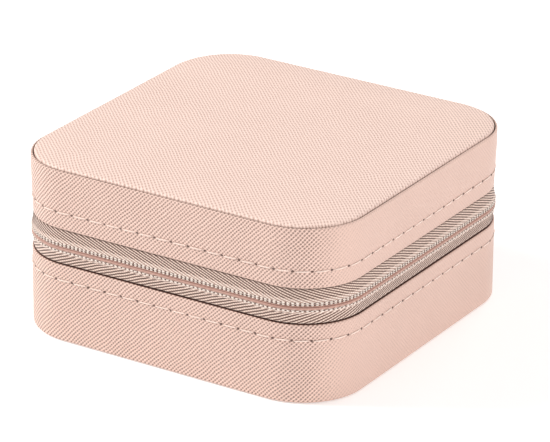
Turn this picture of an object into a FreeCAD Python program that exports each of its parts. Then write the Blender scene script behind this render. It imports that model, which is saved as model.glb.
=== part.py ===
# Travel jewelry case: a small zip-up box in synthetic leather. A padded lid folds back on
# a cloth-lined strip, a coil zipper closes the other sides, and the inside has ring rolls,
# lift-out dividers, necklace tabs and a lid pocket.
# Millimetres. +Z is up, the front is -Y, the hinge is at +Y, z = 0 is the resting face.
import FreeCAD, Part
import os

V = FreeCAD.Vector

# Outside of the box
SIDE = 100.0            # plan width and depth
HALF = SIDE / 2
CORNER_R = 18.0         # outer corner radius in plan
CORNER_C = HALF - CORNER_R
BASE_EDGE_Z = 22.0      # upper edge of the base leather
LID_EDGE_Z = 32.0       # lower edge of the lid leather
BAND_TOP_Z = 48.6       # top of the lid's side band
CROWN_Z = 50.0          # flat middle of the padded top
CROWN_INSET = 14.0      # where the flat middle starts
CROWN_DROP = 1.6        # fall from the middle to the top panel's edge
LEAN = 0.4              # how far the lid's side leans in at its lower edge
LEAN_TOP_Z = 44.0

# Layers, as insets from the outer face
SKIN = 1.0
TAPE_IN = 1.6
BOARD_IN = 3.0
LINING_IN = 3.8

# Board shells and their linings
FLOOR_BOARD = (1.0, 2.6)
FLOOR_LINING = (2.6, 3.4)
BASE_RIM_Z = 21.6
LID_RIM_Z = 32.4
ROOF_BOARD = (45.4, 47.0)
ROOF_LINING = (44.6, 45.4)
RIM_LINING = 0.8

# Zipper: two woven tapes with a nylon coil on the outside of each
CHAIN_Z = 27.0
TAPE_LOWER = (15.5, 26.2)
TAPE_UPPER = (27.8, 38.5)
COIL_GAP = 0.15
COIL_H = 1.95
COIL_PROUD = 0.3
COIL_ROUND = 0.4
TAPE_END_X = 26.0
STOP_X = (26.6, 28.9)
STOP_PROUD = 0.5
STOP_GAP = 0.25

# Fold strip at the back
STRIP_X = 25.0
STRIP_IN = (1.1, 1.5)
STRIP_LINING_IN = (1.5, 2.0)
STRIP_LINING_Z = (22.8, 31.2)

# Stitch rows
STITCH_LOWER_Z = 17.6
STITCH_UPPER_Z = 36.8
STITCH_H = 0.6
STITCH_PROUD = 0.25

# Slider on the left side, with its bail and pull
SLIDER_Y = 27.0
SLIDER_HEAD_Y = 31.5
SLIDER_TAIL_Y = 22.0
SLIDER_HEAD_W = 8.2
SLIDER_TAIL_W = 5.8
SLIDER_OUTER = (-1.6, -0.6)
SLIDER_INNER = (1.8, 2.6)
FLANGE_IN = 0.4
FLANGE_T = 0.6
DIAMOND_Y = (28.6, 31.4)
DIAMOND_H = 1.0
NOTCH_Y = (28.2, 31.8)
NOTCH_H = 1.6
BAIL_HALF_L = 3.2
BAIL_T = 0.8
BAIL_W = 1.8
BAIL_TOP = 3.6          # how far the bail stands out from the box's face
PULL_OUT = 2.2          # distance of the pull's pivot from the box's face
PULL_T = 0.8
PULL_W = 5.2
PULL_EYE_W = 2.6
PULL_EYE_L = 3.9
PULL_L = 21.0

# Ring rolls across the front half
ROLLS = 7
ROLL_PITCH = 13.2
ROLL_W = 12.9
ROLL_Y = (-45.9, -3.4)
ROLL_Z = (3.6, 20.4)
CAVITY_CLEAR = 4.1

# Partition and lift-out dividers
PARTITION_Y = (-3.0, -0.6)
PARTITION_Z = (3.4, 20.4)
DIVIDER_X = 15.5
DIVIDER_T = 2.0
DIVIDER_Y = (-0.2, 45.8)
DIVIDER_Z = (3.7, 19.4)
GUIDE_GAP = 0.3
GUIDE_W = 1.2
GUIDE_D = 1.4
GUIDE_Z = (3.4, 17.4)

# Necklace tabs in the lid
TAB_X = (-24.0, 0.0, 24.0)
TAB_W = 10.0
TAB_Y = -42.0
TAB_L = 18.0
TAB_Z = (42.4, 43.4)
CAP_R = 3.0
CAP_T = 0.5
STUD_R = 2.0
STUD_Z = 43.75
SNAP_Y = -28.5
ANCHOR_Y = (-45.4, -42.7)
ANCHOR_HALF_X = 30.5
ANCHOR_Z = 42.5

# Lid pocket
POCKET_HALF_X = 40.0
POCKET_Y = (4.0, 43.0)
POCKET_Z = 41.4
POCKET_T = 0.7
ELASTIC_Y = (2.4, 3.9)
ELASTIC_Z = (41.4, 42.9)


def box(x0, x1, y0, y1, z0, z1):
    return Part.makeBox(x1 - x0, y1 - y0, z1 - z0, V(x0, y0, z0))


def plate(inset, z0, z1):
    """Rounded-square block, drawn in from the outer face by inset."""
    half = HALF - inset
    block = box(-half, half, -half, half, z0, z1)
    upright = [e for e in block.Edges if abs(e.Vertexes[0].Z - e.Vertexes[-1].Z) > 0]
    return block.makeFillet(CORNER_R - inset, upright)


def wall(outer, inner, z0, z1):
    """Ring between two insets."""
    return plate(outer, z0, z1).cut(plate(inner, z0, z1))


def section(y, start, parts):
    """Face in the plane y, from (inset, z) points; a pair of points is an arc."""
    def at(p):
        return V(HALF - p[0], y, p[1])
    edges, here = [], start
    for part in parts + [(start,)]:
        end = part[-1]
        if len(part) == 2:
            edges.append(Part.Arc(at(here), at(part[0]), at(end)).toShape())
        else:
            edges.append(Part.makeLine(at(here), at(end)))
        here = end
    return Part.Face(Part.Wire(edges))


def ring(start, parts):
    """The section carried round the rounded square."""
    run = section(-CORNER_C, start, parts).extrude(V(0, 2 * CORNER_C, 0))
    turn = section(CORNER_C, start, parts)
    turn = turn.revolve(V(CORNER_C, CORNER_C, 0), V(0, 0, 1), 90)
    pieces = []
    for quarter in range(4):
        for piece in (run, turn):
            pieces.append(piece.copy().rotate(V(0, 0, 0), V(0, 0, 1), 90 * quarter))
    return pieces[0].multiFuse(pieces[1:]).removeSplitter()


def crown_z(inset, thick):
    """Height of the padded top at an inset, a thickness below its surface."""
    run = CROWN_INSET - SKIN
    radius = (run ** 2 + CROWN_DROP ** 2) / (2 * CROWN_DROP) - thick
    across = CROWN_INSET - inset
    return CROWN_Z - thick - radius + (radius ** 2 - across ** 2) ** 0.5


def lean_in(z):
    """Inset of the lid's side at a height."""
    return LEAN * max(0.0, LEAN_TOP_Z - z) / (LEAN_TOP_Z - LID_EDGE_Z)


def gap_at_back(shape):
    return shape.cut(box(-TAPE_END_X, TAPE_END_X, CORNER_C, SIDE, 0, SIDE))


# ---------------------------------------------------------------- base
def base_side_skin():
    """Leather round the base, with its upper edge turned over."""
    top, r, low = BASE_EDGE_Z, 0.5, 0.6
    return ring((SKIN, 0), [
        ((SKIN, top),), ((r, top),), ((0.15, top - 0.15), (0, top - r)),
        ((0, low),), ((0.18, 0.18), (low, 0))])


def base_shell():
    z0, z1 = FLOOR_BOARD
    body = plate(SKIN, z0, TAPE_LOWER[0]).fuse(plate(TAPE_IN, TAPE_LOWER[0], BASE_RIM_Z))
    return body.cut(plate(BOARD_IN, z1, SIDE)).removeSplitter()


def base_lining():
    """Velvet over floor and walls, turned over the board's rim."""
    z0, z1 = FLOOR_LINING
    rim = BASE_RIM_Z + RIM_LINING
    cup = plate(BOARD_IN, z0, rim).cut(plate(LINING_IN, z1, SIDE))
    return cup.fuse(wall(TAPE_IN, LINING_IN, BASE_RIM_Z, rim)).removeSplitter()


def stitch_row(z, inset_at):
    """Raised line of thread lying on the leather."""
    low, high = z - STITCH_H / 2, z + STITCH_H / 2
    out = inset_at(z) - STITCH_PROUD
    return ring((inset_at(low), low), [
        ((inset_at(high), high),), ((out + 0.08, high - 0.12),), ((out, z), (out + 0.08, low + 0.12))])


def tape(z):
    return gap_at_back(wall(SKIN, TAPE_IN, *z))


def coil(upper):
    """Half of the coil, on the outside of its tape, parted round the slider's bridge."""
    near = CHAIN_Z + (COIL_GAP if upper else -COIL_GAP)
    far = near + (COIL_H if upper else -COIL_H)
    low, high = sorted((near, far))
    r, out = COIL_ROUND, -COIL_PROUD
    k = r * (1 - 0.5 ** 0.5)
    body = ring((SKIN, low), [
        ((SKIN, high),), ((out + r, high),),
        ((out + k, high - k), (out, high - r)), ((out, low + r),),
        ((out + k, low + k), (out + r, low))])
    notch = box(-SIDE, -CORNER_C, *NOTCH_Y, CHAIN_Z - NOTCH_H / 2, CHAIN_Z + NOTCH_H / 2)
    ends = box(-STOP_X[1] - 0.2, STOP_X[1] + 0.2, CORNER_C, SIDE, 0, SIDE)
    return body.cut(notch).cut(ends)


def end_stops(upper):
    """Metal stops at the two ends of the coil."""
    near, far = (STOP_GAP, COIL_H) if upper else (-COIL_H, -STOP_GAP)
    stops = []
    for sign in (-1, 1):
        x0, x1 = sorted((sign * STOP_X[0], sign * STOP_X[1]))
        stop = box(x0, x1, HALF - SKIN, HALF + STOP_PROUD, CHAIN_Z + near, CHAIN_Z + far)
        outer = [e for e in stop.Edges if e.CenterOfMass.y > HALF + STOP_PROUD - 0.01]
        stops.append(stop.makeFillet(0.4, outer))
    return Part.makeCompound(stops)


def back_strip(insets, z, half_x):
    return box(-half_x, half_x, HALF - insets[1], HALF - insets[0], *z)


def ring_roll(index):
    """Foam roll with a rounded top, running front to back."""
    x = (index - (ROLLS - 1) / 2) * ROLL_PITCH
    r = ROLL_W / 2
    y0, y1 = ROLL_Y
    z0, z1 = ROLL_Z
    trunk = box(x - r, x + r, y0, y1, z0, z1 - r)
    top = Part.makeCylinder(r, y1 - y0, V(x, y0, z1 - r), V(0, 1, 0))
    return trunk.fuse(top).removeSplitter().common(plate(CAVITY_CLEAR, 0, SIDE))


def partition():
    return box(-HALF, HALF, *PARTITION_Y, *PARTITION_Z).common(plate(LINING_IN, 0, SIDE))


def divider_guides():
    """Pairs of ribs that hold the dividers' ends."""
    ribs = []
    step = DIVIDER_T / 2 + GUIDE_GAP
    for side in (-1, 1):
        for x in (side * DIVIDER_X - step - GUIDE_W, side * DIVIDER_X + step):
            for y in (PARTITION_Y[1], HALF - LINING_IN - GUIDE_D):
                ribs.append(box(x, x + GUIDE_W, y, y + GUIDE_D, *GUIDE_Z))
    return Part.makeCompound(ribs)


def divider(side):
    x = side * DIVIDER_X
    slab = box(x - DIVIDER_T / 2, x + DIVIDER_T / 2, *DIVIDER_Y, *DIVIDER_Z)
    top = [e for e in slab.Edges if e.CenterOfMass.z > DIVIDER_Z[1] - 0.01
           and abs(e.CenterOfMass.x - x) > 0.1]
    return slab.makeFillet(0.7, top)


# ---------------------------------------------------------------- lid
def lid_side_skin():
    """Leather band round the lid, turned over at both edges."""
    low, top = LID_EDGE_Z, BAND_TOP_Z
    foot = lean_in(low)
    return ring((SKIN, low), [
        ((SKIN, top - 0.3),), ((0.7, top),),
        ((0.2, top - 0.3), (0, top - 1.0)), ((0, LEAN_TOP_Z),),
        ((lean_in(low + 0.4), low + 0.4),), ((foot + 0.1, low + 0.1), (foot + 0.35, low))])


def lid_shell():
    z0, z1 = ROOF_BOARD
    body = plate(TAPE_IN, LID_RIM_Z, TAPE_UPPER[1]).fuse(plate(SKIN, TAPE_UPPER[1], z1))
    return body.cut(plate(BOARD_IN, 0, z0)).removeSplitter()


def lid_lining():
    z0, z1 = ROOF_LINING
    rim = LID_RIM_Z - RIM_LINING
    cup = plate(BOARD_IN, rim, z1).cut(plate(LINING_IN, 0, z0))
    return cup.fuse(wall(TAPE_IN, LINING_IN, rim, LID_RIM_Z)).removeSplitter()


def lid_top_skin():
    """Top panel: crowned leather whose edge turns down inside the side band."""
    mid = (SKIN + CROWN_INSET) / 2
    under, inner = SKIN + 0.8, SKIN
    rim = ring((SKIN, ROOF_BOARD[1]), [
        ((SKIN, crown_z(SKIN, 0)),),
        ((mid, crown_z(mid, 0)), (CROWN_INSET, CROWN_Z)),
        ((CROWN_INSET, CROWN_Z - inner),),
        ((mid, crown_z(mid, inner)), (under, crown_z(under, inner))),
        ((under, ROOF_BOARD[1]),)])
    return rim.fuse(plate(CROWN_INSET, CROWN_Z - inner, CROWN_Z)).removeSplitter()


def lid_foam_pad():
    mid = (SKIN + CROWN_INSET) / 2
    under, floor = SKIN + 0.8, ROOF_BOARD[1]
    rim = ring((under, floor), [
        ((under, crown_z(under, SKIN)),),
        ((mid, crown_z(mid, SKIN)), (CROWN_INSET, CROWN_Z - SKIN)),
        ((CROWN_INSET, floor),)])
    return rim.fuse(plate(CROWN_INSET, floor, CROWN_Z - SKIN)).removeSplitter()


def lid_pocket():
    """Shallow pocket sewn to the lid on three sides, open towards the front."""
    x, (y0, y1), t = POCKET_HALF_X, POCKET_Y, POCKET_T
    roof = ROOF_LINING[0]
    outer = box(-x, x, y0, y1, POCKET_Z, roof)
    upright = [e for e in outer.Edges if abs(e.tangentAt(e.FirstParameter).z) > 0.9
               and e.CenterOfMass.y > y1 - 1]
    outer = outer.makeFillet(8.0, upright)
    inner = box(-x + t, x - t, y0 - 1, y1 - t, POCKET_Z + t, roof)
    upright = [e for e in inner.Edges if abs(e.tangentAt(e.FirstParameter).z) > 0.9
               and e.CenterOfMass.y > y1 - 2]
    return outer.cut(inner.makeFillet(8.0 - t, upright))


def pocket_elastic():
    x, (y0, y1), (z0, z1) = POCKET_HALF_X, ELASTIC_Y, ELASTIC_Z
    bar = box(-x, x, y0, y1, z0, z1)
    long_edges = [e for e in bar.Edges if abs(e.tangentAt(e.FirstParameter).x) > 0.9]
    return bar.makeFillet(0.5, long_edges)


def necklace_tab(x):
    """Leather tab with a rounded free end."""
    half, (z0, z1) = TAB_W / 2, TAB_Z
    strip = box(x - half, x + half, TAB_Y, TAB_Y + TAB_L, z0, z1)
    tip = [e for e in strip.Edges if abs(e.tangentAt(e.FirstParameter).z) > 0.9
           and e.CenterOfMass.y > TAB_Y + 1]
    return strip.makeFillet(half - 0.2, tip)


def snap_cap(x):
    cap = Part.makeCylinder(CAP_R, CAP_T, V(x, SNAP_Y, TAB_Z[0] - CAP_T))
    rim = [e for e in cap.Edges if abs(e.CenterOfMass.z - TAB_Z[0] + CAP_T) < 0.01
           and len(e.Vertexes) == 1]
    return cap.makeFillet(0.35, rim)


def snap_studs():
    height = ROOF_LINING[0] - STUD_Z
    return Part.makeCompound(
        [Part.makeCylinder(STUD_R, height, V(x, SNAP_Y, STUD_Z)) for x in TAB_X])


# ---------------------------------------------------------------- slider and pull
def slider_outline(trim):
    """Tapered plate outline, seen along X, as a face at x = 0."""
    head, tail = SLIDER_HEAD_W / 2 - trim, SLIDER_TAIL_W / 2 - trim
    grow = 2 if trim else 0
    y0, y1 = SLIDER_TAIL_Y - grow, SLIDER_HEAD_Y + grow
    corners = [(y0, -tail), (y1, -head), (y1, head), (y0, tail), (y0, -tail)]
    return Part.Face(Part.makePolygon([V(0, y, CHAIN_Z + z) for y, z in corners]))


def slider_slab(insets, trim=0.0):
    """Plate on the left side between two insets."""
    slab = slider_outline(trim).extrude(V(insets[1] - insets[0], 0, 0))
    return slab.translate(V(-HALF + insets[0], 0, 0))


def round_upright(slab, radius):
    across = [e for e in slab.Edges if abs(e.tangentAt(e.FirstParameter).x) > 0.9]
    return slab.makeFillet(radius, across)


def slider_body():
    """Two plates joined by the bridge between the coils, the outer one flanged."""
    outer = round_upright(slider_slab(SLIDER_OUTER), 1.2)
    inner = round_upright(slider_slab(SLIDER_INNER), 1.2)
    rim = (SLIDER_OUTER[1], FLANGE_IN)
    flange = round_upright(slider_slab(rim), 1.2).cut(slider_slab(rim, FLANGE_T))
    x0, x1 = -HALF + SLIDER_OUTER[1], -HALF + SLIDER_INNER[0]
    half = DIAMOND_H / 2
    bridge = box(x0, x1, *DIAMOND_Y, CHAIN_Z - half, CHAIN_Z + half)
    return outer.multiFuse([inner, flange, bridge]).removeSplitter()


def slider_bail():
    """Loop on the slider that holds the pull."""
    x0, x1 = -HALF - BAIL_TOP, -HALF + SLIDER_OUTER[0]
    y0, y1 = SLIDER_Y - BAIL_HALF_L, SLIDER_Y + BAIL_HALF_L
    half = BAIL_W / 2
    loop = box(x0, x1, y0, y1, CHAIN_Z - half, CHAIN_Z + half)
    outer = [e for e in loop.Edges if abs(e.tangentAt(e.FirstParameter).z) > 0.9
             and e.CenterOfMass.x < x0 + 0.1]
    loop = loop.makeFillet(0.7, outer)
    return loop.cut(box(x0 + BAIL_T, x1, y0 + BAIL_T, y1 - BAIL_T, 0, SIDE))


def pull_tab():
    """Flat metal pull lying along the zipper, its end bar held in the bail."""
    x, r = -HALF - PULL_OUT, PULL_T / 2
    half, eye = PULL_W / 2, PULL_EYE_W / 2
    tip = SLIDER_Y - PULL_L
    leaf = box(x - r, x + r, tip, SLIDER_Y, CHAIN_Z - half, CHAIN_Z + half)
    end = [e for e in leaf.Edges if abs(e.tangentAt(e.FirstParameter).x) > 0.9
           and e.CenterOfMass.y < tip + 0.1]
    leaf = leaf.makeFillet(half - 0.1, end)
    window = box(x - 1, x + 1, SLIDER_Y - PULL_EYE_L, SLIDER_Y + 1,
                 CHAIN_Z - eye, CHAIN_Z + eye)
    bar = Part.makeCylinder(r, PULL_W, V(x, SLIDER_Y, CHAIN_Z - half))
    hole = Part.makeCylinder(1.1, 4, V(x - 2, tip + 3.2, CHAIN_Z), V(1, 0, 0))
    return leaf.cut(window).cut(hole).fuse(bar).removeSplitter()


def build():
    strip_z = (TAPE_LOWER[0], TAPE_UPPER[1])
    nodes = {
        "base_side_skin": base_side_skin(),
        "base_bottom_skin": plate(SKIN, 0, FLOOR_BOARD[0]),
        "base_shell": base_shell(),
        "base_lining": base_lining(),
        "base_stitches": stitch_row(STITCH_LOWER_Z, lambda z: 0.0),
        "zipper_tape_lower": tape(TAPE_LOWER),
        "zipper_coil_lower": coil(False),
        "end_stops_lower": end_stops(False),
        "hinge_strip": back_strip(STRIP_IN, strip_z, STRIP_X),
        "hinge_lining": back_strip(STRIP_LINING_IN, STRIP_LINING_Z, STRIP_X - 0.5),
        "partition": partition(),
        "divider_guides": divider_guides(),
        "divider_left": divider(-1),
        "divider_right": divider(1),
        "lid_side_skin": lid_side_skin(),
        "lid_top_skin": lid_top_skin(),
        "lid_foam_pad": lid_foam_pad(),
        "lid_shell": lid_shell(),
        "lid_lining": lid_lining(),
        "lid_stitches": stitch_row(STITCH_UPPER_Z, lean_in),
        "zipper_tape_upper": tape(TAPE_UPPER),
        "zipper_coil_upper": coil(True),
        "end_stops_upper": end_stops(True),
        "lid_pocket": lid_pocket(),
        "pocket_elastic": pocket_elastic(),
        "tab_anchor": box(-ANCHOR_HALF_X, ANCHOR_HALF_X, *ANCHOR_Y, ANCHOR_Z, ROOF_LINING[0]),
        "snap_studs": snap_studs(),
        "slider_body": slider_body(),
        "slider_bail": slider_bail(),
        "pull_tab": pull_tab(),
    }
    for i in range(ROLLS):
        nodes["ring_roll_%d" % (i + 1)] = ring_roll(i)
    for i, x in enumerate(TAB_X):
        nodes["necklace_tab_%d" % (i + 1)] = necklace_tab(x)
        nodes["snap_cap_%d" % (i + 1)] = snap_cap(x)
    return nodes


os.makedirs("parts", exist_ok=True)
for name, shape in build().items():
    shape.exportStep("parts/%s.step" % name)
    print(name, len(shape.Solids), round(shape.Volume, 2), shape.isValid())
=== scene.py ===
# Looks for the travel jewelry case: leather, zipper, velvet inside, floor, light and camera.
# Lengths in the helpers below are millimetres; MM turns them into Blender's metres.
import math

import bmesh
import bpy
import numpy as np
from mathutils import Matrix, Vector, noise


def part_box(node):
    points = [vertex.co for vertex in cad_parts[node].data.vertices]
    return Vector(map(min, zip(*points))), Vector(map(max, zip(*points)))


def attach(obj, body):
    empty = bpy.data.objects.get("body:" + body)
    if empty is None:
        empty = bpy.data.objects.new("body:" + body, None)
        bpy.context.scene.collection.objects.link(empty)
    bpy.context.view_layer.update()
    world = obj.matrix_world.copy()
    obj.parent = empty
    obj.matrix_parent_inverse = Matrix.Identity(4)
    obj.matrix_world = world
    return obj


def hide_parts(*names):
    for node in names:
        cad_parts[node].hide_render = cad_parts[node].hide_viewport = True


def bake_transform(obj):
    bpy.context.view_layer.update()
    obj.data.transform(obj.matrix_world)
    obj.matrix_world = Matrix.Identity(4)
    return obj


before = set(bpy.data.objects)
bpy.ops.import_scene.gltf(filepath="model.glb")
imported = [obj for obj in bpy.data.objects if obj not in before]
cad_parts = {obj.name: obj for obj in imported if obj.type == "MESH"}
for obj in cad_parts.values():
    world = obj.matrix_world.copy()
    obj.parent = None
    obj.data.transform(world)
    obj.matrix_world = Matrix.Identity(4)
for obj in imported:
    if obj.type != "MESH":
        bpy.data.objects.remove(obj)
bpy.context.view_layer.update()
MM = 0.001


def cad(node):
    """Lowest and highest corner of a CAD node, in millimetres."""
    lo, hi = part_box(node)
    return np.array(lo) / MM, np.array(hi) / MM


# ---------------------------------------------------------------- sizes
HALF = cad("base_side_skin")[1][0]
CORNER_R = 18.0
CENTRE = HALF - CORNER_R
BASE_EDGE = cad("base_side_skin")[1][2]
LID_EDGE = cad("lid_side_skin")[0][2]
BAND_TOP = cad("lid_side_skin")[1][2]
CROWN = cad("lid_top_skin")[1][2]
CHAIN = (cad("zipper_coil_lower")[1][2] + cad("zipper_coil_upper")[0][2]) / 2
STITCH_LOWER = (cad("base_stitches")[0][2] + cad("base_stitches")[1][2]) / 2
STITCH_UPPER = (cad("lid_stitches")[0][2] + cad("lid_stitches")[1][2]) / 2
VELVET_THICK = 0.8
CEILING = cad("lid_lining")[1][2] - VELVET_THICK
# The lid's band leans in by LEAN at its lower edge and stands upright from LEAN_TOP.
LEAN, LEAN_TOP = 0.4, 44.0
# Half of the gap between the zipper's ends, at the back.
TAPE_END = 26.0
STITCH_PITCH = 5.2
COIL_PITCH = 1.25
GRAIN = 0.84
# The leather's grain is painted fainter from this x on, over this distance: painted light, for
# the flatter light on the +X side.
FLAT_LIGHT_FROM, FLAT_LIGHT_OVER = 43.0, 6.0
ARC = math.pi * CORNER_R / 2
LOOP = 8 * CENTRE + 4 * ARC

# ---------------------------------------------------------------- node materials


class Look:
    """A procedural material, built up node by node."""

    def __init__(self, name, roughness=0.6, metallic=0.0, sheen=0.0, specular=0.5):
        self.mat = bpy.data.materials.new(name)
        self.mat.use_nodes = True
        self.tree = self.mat.node_tree
        self.shader = self.tree.nodes["Principled BSDF"]
        self.shader.inputs["Roughness"].default_value = roughness
        self.shader.inputs["Metallic"].default_value = metallic
        self.shader.inputs["Sheen Weight"].default_value = sheen
        self.shader.inputs["Specular IOR Level"].default_value = specular

    def put(self, socket, value):
        if isinstance(value, bpy.types.NodeSocket):
            self.tree.links.new(value, socket)
        else:
            socket.default_value = value

    def math(self, op, a, b=0.0, c=None):
        node = self.tree.nodes.new("ShaderNodeMath")
        node.operation = op
        self.put(node.inputs[0], a)
        self.put(node.inputs[1], b)
        if c is not None:
            self.put(node.inputs[2], c)
        return node.outputs[0]

    def coords(self, kind):
        """x, y, z in millimetres, from the object or from the UV map laid out in millimetres."""
        split = self.tree.nodes.new("ShaderNodeSeparateXYZ")
        if kind == "UV":
            source = self.tree.nodes.new("ShaderNodeUVMap")
            source.uv_map = "cloth"
            self.put(split.inputs[0], source.outputs[0])
            return split.outputs[0], split.outputs[1], split.outputs[2]
        source = self.tree.nodes.new("ShaderNodeTexCoord")
        self.put(split.inputs[0], source.outputs["Object"])
        return [self.math("MULTIPLY", split.outputs[i], 1 / MM) for i in range(3)]

    def noise(self, scale, detail=2.0, stretch=(1, 1, 1)):
        """Noise over the object, with scale in features per metre."""
        source = self.tree.nodes.new("ShaderNodeTexCoord")
        move = self.tree.nodes.new("ShaderNodeMapping")
        move.inputs["Scale"].default_value = stretch
        self.put(move.inputs["Vector"], source.outputs["Object"])
        node = self.tree.nodes.new("ShaderNodeTexNoise")
        self.put(node.inputs["Vector"], move.outputs[0])
        node.inputs["Scale"].default_value = scale
        node.inputs["Detail"].default_value = detail
        return node.outputs["Fac"]

    def wave(self, x, y, period, angle, warp=None):
        """0 to 1 stripes that lie at an angle, in degrees, with a period in millimetres."""
        across = math.radians(angle + 90)
        a = self.math("MULTIPLY", x, math.cos(across) / period)
        b = self.math("MULTIPLY_ADD", y, math.sin(across) / period, a)
        if warp is not None:
            b = self.math("ADD", b, warp)
        s = self.math("SINE", self.math("MULTIPLY", b, 2 * math.pi))
        return self.math("MULTIPLY_ADD", s, 0.5, 0.5)

    def blend(self, factor, low, high):
        node = self.tree.nodes.new("ShaderNodeMix")
        node.data_type = "RGBA"
        self.put(node.inputs[0], factor)
        for socket, colour in ((node.inputs[6], low), (node.inputs[7], high)):
            self.put(socket, colour if isinstance(colour, bpy.types.NodeSocket) else (*colour, 1))
        return node.outputs[2]

    def colour(self, value):
        self.put(self.shader.inputs["Base Color"], value)

    def rough(self, factor, low, high):
        node = self.tree.nodes.new("ShaderNodeMapRange")
        self.put(node.inputs[0], factor)
        node.inputs[3].default_value = low
        node.inputs[4].default_value = high
        self.put(self.shader.inputs["Roughness"], node.outputs[0])

    def bump(self, height, depth, strength=1.0):
        """depth in millimetres for a height from 0 to 1."""
        node = self.tree.nodes.new("ShaderNodeBump")
        node.inputs["Distance"].default_value = depth * MM
        node.inputs["Strength"].default_value = strength
        self.put(node.inputs["Height"], height)
        self.put(self.shader.inputs["Normal"], node.outputs[0])


def leather(name, kind, bright, valley, angle=45, depth=0.28, flat_light_fade=0.0, breaks=0.68,
            dash=1.0):
    """Cross-hatched grain: valleys that lie at an angle, broken into rows of pits by a second
    set of ridges at right angles. kind is where x and y come from, and depth is that of the
    pits in millimetres. fade is how much fainter the pits are painted on the +X side, painted
    light that stands in for the flatter light there. breaks is how far the second set fills
    the valleys, and dash is how much wider it is spaced."""
    mean_pit = 0.33
    look = Look(name, roughness=0.5, specular=0.35)
    x, y, _ = look.coords(kind)
    drift = look.math("MULTIPLY", look.math("SUBTRACT", look.noise(130, 3), 0.5), 1.3)
    main = look.wave(x, y, GRAIN, angle, drift)
    cross = look.wave(x, y, GRAIN * dash, angle + 90, drift)
    valley_line = look.math("POWER", look.math("SUBTRACT", 1.0, main), 1.15)
    pit = look.math("MULTIPLY", valley_line, look.math("MULTIPLY_ADD", cross, -breaks, 1.0))
    # Painted light: towards +X the pits are painted fainter, for the flatter light there.
    if flat_light_fade:
        over = look.math("SUBTRACT", look.coords("Object")[0], FLAT_LIGHT_FROM)
        over = look.math("DIVIDE", over, FLAT_LIGHT_OVER)
        over = look.math("MINIMUM", look.math("MAXIMUM", over, 0.0), 1.0)
        pit = look.math("MULTIPLY", pit, look.math("MULTIPLY_ADD", over, -flat_light_fade, 1.0))
        pit = look.math("MULTIPLY_ADD", over, mean_pit * flat_light_fade, pit)
    height = look.math("SUBTRACT", 1.0, pit)
    patch = look.noise(60, 2)
    deep = look.blend(patch, valley, [0.7 * a + 0.3 * b for a, b in zip(valley, bright)])
    base = look.blend(height, deep, bright)
    cloud = look.math("MULTIPLY", look.noise(25, 2), 0.1)
    look.colour(look.blend(cloud, base, [0.9 * c for c in bright]))
    look.rough(height, 0.62, 0.42)
    grit = look.math("MULTIPLY_ADD", look.noise(2600, 2), 0.2, height)
    look.bump(grit, depth)
    return look.mat


def velvet(name, dark, light):
    look = Look(name, roughness=0.95, sheen=0.6, specular=0.15)
    pile = look.noise(2400, 3)
    # Painted sheen: the stretched nap streaks are painted light and dark into the colour.
    nap = look.noise(55, 4, (1.0, 1.6, 1.0))
    mixed = look.math("MULTIPLY_ADD", pile, 0.45, look.math("MULTIPLY", nap, 0.55))
    look.colour(look.blend(mixed, dark, light))
    look.bump(mixed, 0.12, 0.8)
    return look.mat


def woven(name, dark, light, angle, pitch):
    """Twill: slanted ribs crossed by fine yarns."""
    look = Look(name, roughness=0.85, sheen=0.25, specular=0.2)
    x, y, _ = look.coords("UV")
    drift = look.math("MULTIPLY", look.math("SUBTRACT", look.noise(220, 2), 0.5), 0.5)
    rib = look.wave(x, y, pitch, angle, drift)
    pick = look.wave(x, y, 0.7, angle + 70)
    crisp = look.math("MULTIPLY_ADD", rib, 1.7, -0.3)
    crisp = look.math("MINIMUM", look.math("MAXIMUM", crisp, 0.0), 1.0)
    yarn = look.wave(x, y, 0.23, angle + 70)
    height = look.math("MULTIPLY", crisp, look.math("MULTIPLY_ADD", pick, 0.4, 0.6))
    tone = look.math("MULTIPLY", height, look.math("MULTIPLY_ADD", yarn, 0.25, 0.8))
    look.colour(look.blend(tone, dark, light))
    look.bump(height, 0.08)
    return look.mat


def thread_look(name, dark, light):
    look = Look(name, roughness=0.7, sheen=0.3, specular=0.3)
    x, y, _ = look.coords("UV")
    ply = look.wave(x, y, 0.5, 35)
    fuzz = look.math("MULTIPLY_ADD", look.noise(3000, 2), 0.3, look.math("MULTIPLY", ply, 0.7))
    look.colour(look.blend(fuzz, dark, light))
    look.bump(ply, 0.05)
    return look.mat


def nylon(name, dark, light):
    look = Look(name, roughness=0.42, specular=0.5)
    mixed = look.noise(700, 3)
    look.colour(look.blend(mixed, dark, light))
    look.rough(mixed, 0.35, 0.55)
    look.bump(look.noise(2500, 2), 0.02)
    return look.mat


def metal(name, dark, light):
    look = Look(name, roughness=0.22, metallic=1.0)
    wear = look.noise(160, 4)
    look.colour(look.blend(wear, dark, light))
    look.rough(look.noise(900, 3, (1, 6, 1)), 0.16, 0.32)
    look.bump(look.noise(1800, 2, (1, 5, 1)), 0.008)
    return look.mat


def board(name, dark, light):
    look = Look(name, roughness=0.9, specular=0.1)
    fibre = look.noise(900, 4, (1, 3, 1))
    look.colour(look.blend(fibre, dark, light))
    look.bump(fibre, 0.05)
    return look.mat


def satin(name, dark, light):
    look = Look(name, roughness=0.45, sheen=0.4, specular=0.35)
    x, y, _ = look.coords("Object")
    pick = look.wave(x, y, 0.35, 20)
    # Painted shade and sheen: stretched streaks of the gathered folds are painted light and dark into
    # the colour.
    fold = look.noise(90, 3, (2.5, 0.6, 1))
    mixed = look.math("MULTIPLY_ADD", pick, 0.3, look.math("MULTIPLY", fold, 0.7))
    look.colour(look.blend(mixed, dark, light))
    look.bump(pick, 0.02)
    return look.mat


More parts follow.
